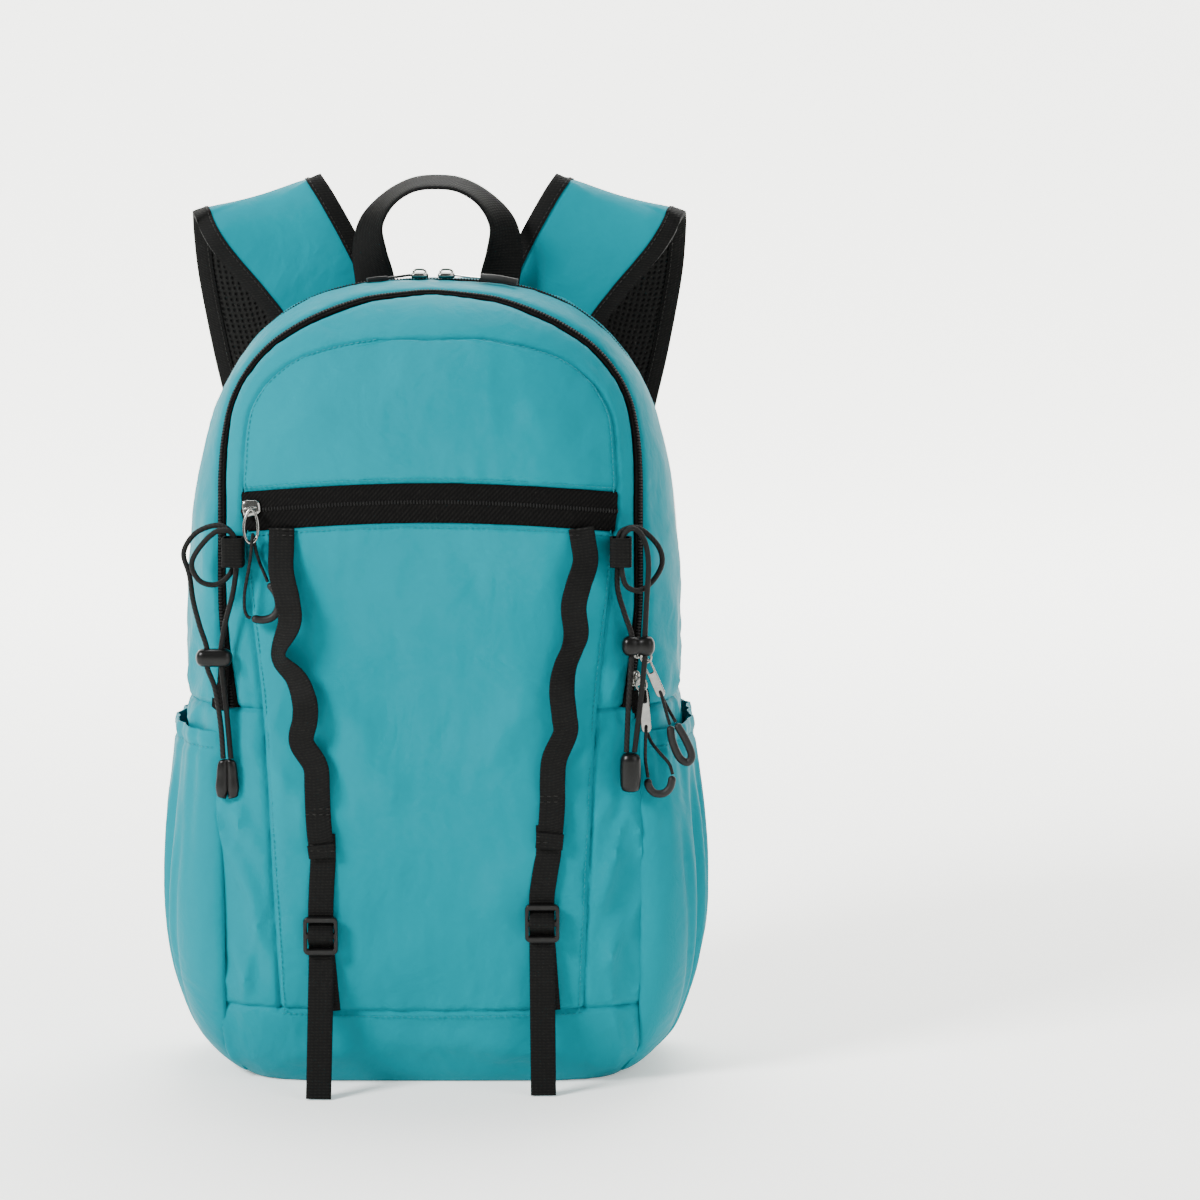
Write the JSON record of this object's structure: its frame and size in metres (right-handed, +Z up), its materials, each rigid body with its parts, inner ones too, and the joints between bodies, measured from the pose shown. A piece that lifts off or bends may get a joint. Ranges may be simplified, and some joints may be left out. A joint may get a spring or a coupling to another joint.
{
  "type": "packable backpack",
  "caption": "Soft packable daypack with arched zips, open side pockets, front gear webbing, elastic cords, a grab handle and padded shoulder straps.",
  "frame": {"origin": "middle of the base, on the surface that the bag stands on", "axes": "+Z up; -Y is the front with the pocket zip and the gear webbing; +Y is the back panel with the shoulder straps; +X is the right side seen from the front"},
  "size_m": [0.3084, 0.2022, 0.5038],
  "materials": {
    "teal_nylon": "satin",
    "zip_tape": "matte",
    "spacer_mesh": "matte",
    "webbing": "matte",
    "black_plastic": "satin",
    "rubber_grip": "matte",
    "silver_metal": "satin",
    "elastic_cord": "matte",
    "thin_cord": "matte"
  },
  "bodies": {
    "root": {"front_upper_panel": "teal_nylon", "pocket_zip": "zip_tape", "front_pocket_panel": "teal_nylon", "front_gusset": "teal_nylon", "front_zip": "zip_tape", "middle_gusset": "teal_nylon", "main_zip": "zip_tape", "rear_gusset": "teal_nylon", "side_panel_left": "teal_nylon", "side_panel_right": "teal_nylon", "base_panel": "teal_nylon", "back_panel": "spacer_mesh", "side_pocket_left": "teal_nylon", "side_pocket_right": "teal_nylon", "grab_handle": "webbing", "gear_webbing_left": "webbing", "gear_tail_left": "webbing", "strap_anchor_left": "webbing", "ladder_lock_left": "black_plastic", "gear_webbing_right": "webbing", "gear_tail_right": "webbing", "strap_anchor_right": "webbing", "ladder_lock_right": "black_plastic", "shoulder_strap_left": "teal_nylon", "strap_webbing_left": "webbing", "strap_adjuster_left": "black_plastic", "shoulder_strap_right": "teal_nylon", "strap_webbing_right": "webbing", "strap_adjuster_right": "black_plastic", "elastic_cord_left": "elastic_cord", "cord_tab_left": "webbing", "elastic_cord_right": "elastic_cord", "cord_tab_right": "webbing", "cord_lock_left": "black_plastic", "cord_lock_right": "black_plastic", "cord_end_left": "black_plastic", "cord_end_right": "black_plastic", "pocket_zip_slider": "silver_metal", "front_zip_slider_upper": "silver_metal", "front_zip_slider_lower": "silver_metal", "main_zip_slider_left": "silver_metal", "main_zip_slider_right": "silver_metal", "main_zip_pull_left": "black_plastic", "main_zip_pull_right": "black_plastic", "pocket_zip_pull": "silver_metal", "pocket_pull_cord": "thin_cord", "pocket_pull_grip": "rubber_grip", "lower_pull_cord": "thin_cord", "lower_pull_grip": "rubber_grip", "upper_pull_cord": "thin_cord", "upper_pull_grip": "rubber_grip", "front_zip_pull_lower": "silver_metal", "front_zip_pull_upper": "silver_metal"}
  },
  "joints": []
}
